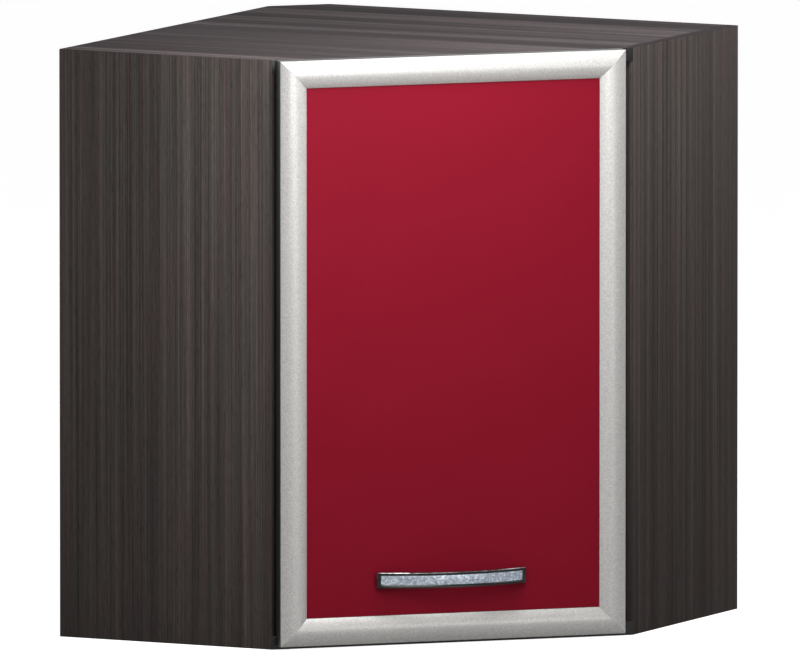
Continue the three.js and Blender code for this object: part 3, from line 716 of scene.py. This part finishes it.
def cutCross(work, head, top):
    # closes the open ring on top of a head with a flat that has a tapered cross sunk in it
    look = screwLook
    half, reach = head * look["crossHalf"], head * look["crossReach"]
    corners = [(half, reach), (half, half), (reach, half), (reach, -half), (half, -half), (half, -reach)]
    corners += [(-x, -y) for x, y in corners]
    rim = [e for e in work.edges if e.is_boundary]
    mouth = [work.verts.new((x, y, top)) for x, y in corners]
    mouthEdges = [work.edges.new((mouth[i - 1], mouth[i])) for i in range(len(mouth))]
    bmesh.ops.triangle_fill(work, edges=rim + mouthEdges, use_beauty=True, normal=(0, 0, 1))

    def inCross(face):
        x, y = (abs(v) for v in face.calc_center_median()[:2])
        return min(x, y) < half and max(x, y) < reach

    for face in [f for f in work.faces if all(v in mouth for v in f.verts) and inCross(f)]:
        work.faces.remove(face)
    walls = bmesh.ops.extrude_edge_only(work, edges=mouthEdges)["geom"]
    for v in [v for v in walls if isinstance(v, bmesh.types.BMVert)]:
        v.co = (v.co.x * look["crossTaper"], v.co.y * look["crossTaper"], top - look["crossDepth"])
    floorEdges = [e for e in walls if isinstance(e, bmesh.types.BMEdge) and e.is_boundary]
    bmesh.ops.triangle_fill(work, edges=floorEdges, use_beauty=True, normal=(0, 0, 1))


def turnFromZ(direction):
    return Vector((0, 0, 1)).rotation_difference(Vector(direction)).to_matrix().to_4x4()


def makeScrew(node, body, direction, height):
    # direction points from the tip to the head; height is the head's
    look = screwLook
    turn = turnFromZ(direction)
    low, high = turnedBox(node, turn.inverted())
    middle = (low + high) / 2
    head = (high.x - low.x) / 2
    points = [turn.inverted() @ v.co for v in cad[node].data.vertices]
    shank = max((p.xy - middle.xy).length for p in points if p.z < high.z - height - look["neck"])
    work = bmesh.new()
    lathe(work, screwProfile(head, height, shank, low.z, high.z - height), look["sides"])
    cutCross(work, head, high.z)
    put = turn @ Matrix.Translation((middle.x, middle.y, 0))
    bmesh.ops.transform(work, matrix=put, verts=work.verts)
    asPiece(node + "_threaded", work, body, [nickel], [node], look["smooth"])


intoCabinet = frontPlan.to_3x3() @ Vector((0, 1, 0))
fromLeftSide = (0, 1, 0)
fromRightSide = (-1, 0, 0)
panHeight = screwLook["headHeight"]
for level in ("lower", "upper"):
    for place in ("low", "high"):
        makeScrew(f"{level}_hinge_cup_screw_{place}", "door", intoCabinet, panHeight)
        makeScrew(f"{level}_hinge_plate_screw_{place}", "carcass", fromLeftSide, panHeight)
    makeScrew(f"left_hanger_screw_{level}", "carcass", fromLeftSide, panHeight)
    makeScrew(f"right_hanger_screw_{level}", "carcass", fromRightSide, panHeight)
for side in ("left", "right"):
    makeScrew(f"handle_screw_{side}", "door", intoCabinet, screwLook["handleHeadHeight"])
print("screws done")

pressedLook = {
    "edge": 0.22 * mm,
    "longerThan": 0.9 * mm,
    "screwsAlong": (8 * mm, 30 * mm),    # adjusting screws, from the arm's rear end
    "railDepth": 8.7 * mm,               # the arm's flat rail, below its highest point
    "smooth": 32,
}
adjusterLook = {
    "radius": 2.9 * mm,
    "height": 0.8 * mm,
    "sunk": 0.4 * mm,
    "crown": ((1.0, 0.6), (0.9, 0.9), (0.7, 1.0)),
}


def addHead(work, place, direction):
    # an adjusting screw's low head, let into the sheet under it
    look = adjusterLook
    radius, height = look["radius"], look["height"]
    cap = bmesh.new()
    profile = [(0, -look["sunk"]), (radius, -look["sunk"])]
    lathe(cap, profile + [(radius * r, height * h) for r, h in look["crown"]], screwLook["sides"])
    cutCross(cap, radius, height)
    put = Matrix.Translation(place) @ turnFromZ(direction)
    bmesh.ops.transform(cap, matrix=put, verts=cap.verts)
    grown = bpy.data.meshes.new("adjustingHead")
    cap.to_mesh(grown)
    cap.free()
    work.from_mesh(grown)
    bpy.data.meshes.remove(grown)


def makeHinge(level):
    look = pressedLook
    for part, body in (("cup", "door"), ("outer_link", "outer_links"), ("inner_link", "inner_links"),
                       ("plate", "carcass"), ("arm", "carcass")):
        node = f"{level}_hinge_{part}"
        work = copyOf(node)
        soften(work, look["edge"], longerThan=look["longerThan"])
        if part == "arm":
            low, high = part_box(node)
            for along in look["screwsAlong"]:
                place = (low.x + along, high.y - look["railDepth"], (low.z + high.z) / 2)
                addHead(work, place, fromLeftSide)
        asPiece(node + "_pressed", work, body, [nickel], [node], look["smooth"])


for level in ("lower", "upper"):
    makeHinge(level)

pinLook = {"edge": 0.3 * mm, "longerThan": 1.2 * mm, "smooth": 32}
for node in [n for n in cad if "_pin_" in n]:
    work = copyOf(node)
    soften(work, pinLook["edge"], longerThan=pinLook["longerThan"])
    asPiece(node + "_rounded", work, "carcass", [nickel], [node], pinLook["smooth"])

hangerLook = {
    "edge": 0.9 * mm,
    "edgeSegments": 3,
    "longerThan": 6 * mm,
    "hookEdge": 0.35 * mm,
    "hookLongerThan": 2 * mm,
    "screwInset": 12 * mm,   # adjusting screw, from the housing's wall side
    "screwRise": 14 * mm,    # adjusting screw, above the housing's middle
}


def makeHanger(side, direction):
    look = hangerLook
    housing, hook = f"{side}_hanger_housing", f"{side}_hanger_hook"
    work = copyOf(housing)
    soften(work, look["edge"], look["edgeSegments"], look["longerThan"])
    asPiece(housing + "_moulded", work, "carcass", [nylon], [housing])
    work = copyOf(hook)
    soften(work, look["hookEdge"], longerThan=look["hookLongerThan"])
    asPiece(hook + "_pressed", work, "carcass", [nickel], [hook])
    # the head of the screw that draws the cabinet to its rail, in the housing's face
    low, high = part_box(housing)
    rise = (low.z + high.z) / 2 + look["screwRise"]
    if side == "left":
        place = (low.x + look["screwInset"], high.y, rise)
    else:
        place = (low.x, high.y - look["screwInset"], rise)
    work = bmesh.new()
    addHead(work, place, direction)
    asPiece(f"{side}_hanger_adjuster", work, "carcass", [nickel],
            smooth=screwLook["smooth"])


makeHanger("left", fromLeftSide)
makeHanger("right", fromRightSide)
print("hinges, pins and hangers done")

backSheetLook = {"edge": 0.3 * mm, "segments": 1, "longerThan": 14 * mm}
for side in ("left", "right"):
    node = f"back_sheet_{side}"
    work = copyOf(node)
    soften(work, backSheetLook["edge"], backSheetLook["segments"], backSheetLook["longerThan"])
    asPiece(node + "_pressed", work, "carcass", [hardboard], [node])
print("back sheets done")

studioLook = {
    "floorSize": 14,         # metres from its middle to its edge
    "floorGrey": (0.3, 0.3, 0.3, 1),
    "floorGlow": 0.975,      # what the camera sees of the floor, on top of its grey
    "skySeen": 0.96,         # what the camera sees of the sky, on top of its light
    "skyLight": 0.04,
}


def startStage(tree):
    # 1 for rays that show the background: to the camera, through glass and off gloss
    tree.nodes.clear()
    path = addNode(tree, "ShaderNodeLightPath", {}).outputs
    seen = path["Is Camera Ray"]
    for other in ("Is Transmission Ray", "Is Glossy Ray"):
        either = addNode(tree, "ShaderNodeMath", {0: seen, 1: path[other]}, operation="MAXIMUM")
        seen = either.outputs["Value"]
    return seen


def makeFloor():
    look = studioLook
    mesh = bpy.data.meshes.new("studioFloor")
    work = bmesh.new()
    bmesh.ops.create_grid(work, x_segments=1, y_segments=1, size=look["floorSize"])
    work.to_mesh(mesh)
    work.free()
    floor = bpy.data.objects.new("studioFloor", mesh)
    scene.collection.objects.link(floor)
    floorPaint = bpy.data.materials.new("palePaintedFloor")
    floorPaint.use_nodes = True
    tree = floorPaint.node_tree
    seen = startStage(tree)
    shown = addNode(tree, "ShaderNodeMath", {0: seen, 1: look["floorGlow"]}, operation="MULTIPLY")
    matt = addNode(tree, "ShaderNodeBsdfDiffuse", {"Color": look["floorGrey"]})
    glow = addNode(tree, "ShaderNodeEmission", {"Strength": shown.outputs["Value"]})
    both = addNode(tree, "ShaderNodeAddShader", {0: matt.outputs["BSDF"], 1: glow.outputs["Emission"]})
    addNode(tree, "ShaderNodeOutputMaterial", {"Surface": both.outputs["Shader"]})
    mesh.materials.append(floorPaint)


def makeSky():
    world = bpy.data.worlds.new("paleStudio")
    scene.world = world
    world.use_nodes = True
    tree = world.node_tree
    seen = startStage(tree)
    level = addNode(tree, "ShaderNodeMath", {0: seen, 1: studioLook["skySeen"], 2: studioLook["skyLight"]},
                    operation="MULTIPLY_ADD")
    sky = addNode(tree, "ShaderNodeBackground", {"Color": "#ffffff", "Strength": level.outputs["Value"]})
    addNode(tree, "ShaderNodeOutputWorld", {"Surface": sky.outputs["Background"]})


makeFloor()
makeSky()

# each lamp's place, what it is aimed at, its side in metres and its power in watts
lampLook = {
    "overheadSoftbox": ((0.34, -0.34, 1.20), (0.18, -0.18, 0.20), 0.4, 9.5),
    "frontSoftbox": ((0.495, -0.778, 0.80), (0.14, -0.14, 0.35), 0.6, 7.3),
    "frontLeftSoftbox": ((-0.283, -1.98, 0.70), (0.14, -0.14, 0.40), 0.8, 4.2),
    "farRightSoftbox": ((1.9, -1.05, 0.60), (0.14, -0.14, 0.40), 0.8, 8.0),
    "leftSoftbox": ((-2.2, -0.6, 1.2), (0.0, 0.0, 0.4), 1.2, 30),
    "rearSoftbox": ((1.5, 1.8, 1.5), (0.0, 0.0, 0.35), 1.2, 10),
    "rightSoftbox": ((0.75, 0.45, 1.15), (0.30, 0.15, 0.50), 0.4, 5.5),
}
for name, (place, aim, side, power) in lampLook.items():
    lamp = bpy.data.lights.new(name, "AREA")
    lamp.shape = "RECTANGLE"
    lamp.size, lamp.size_y, lamp.energy = side, side, power
    softbox = bpy.data.objects.new(name, lamp)
    softbox.location = place
    softbox.rotation_euler = (Vector(aim) - Vector(place)).to_track_quat("-Z", "Y").to_euler()
    scene.collection.objects.link(softbox)

# the photograph shows almost no perspective, so the lens is as long as other views can carry
cameraLook = {
    "azimuth": math.radians(26.67),
    "elevation": math.radians(6.565),
    "lens": 1400,            # in mm, as the sensor is
    "sensor": 36,
    "frameWidth": 0.95,      # in metres, at the aim, as the rest are
    "aim": (0.00018, 0.00009, 0.3561),
    "clip": (1, 200),
}
camera = bpy.data.cameras.new("photographersCamera")
camera.lens = cameraLook["lens"]
camera.sensor_width = cameraLook["sensor"]
camera.clip_start, camera.clip_end = cameraLook["clip"]
azimuth, elevation = cameraLook["azimuth"], cameraLook["elevation"]
back = Vector((math.sin(azimuth) * math.cos(elevation), -math.cos(azimuth) * math.cos(elevation),
               math.sin(elevation)))
distance = cameraLook["lens"] / cameraLook["sensor"] * cameraLook["frameWidth"]
cameraObject = bpy.data.objects.new("photographersCamera", camera)
cameraObject.location = Vector(cameraLook["aim"]) + back * distance
cameraObject.rotation_euler = (-back).to_track_quat("-Z", "Y").to_euler()
scene.collection.objects.link(cameraObject)
scene.camera = cameraObject
scene.view_settings.view_transform = "Standard"
print("stage, lights and camera done")
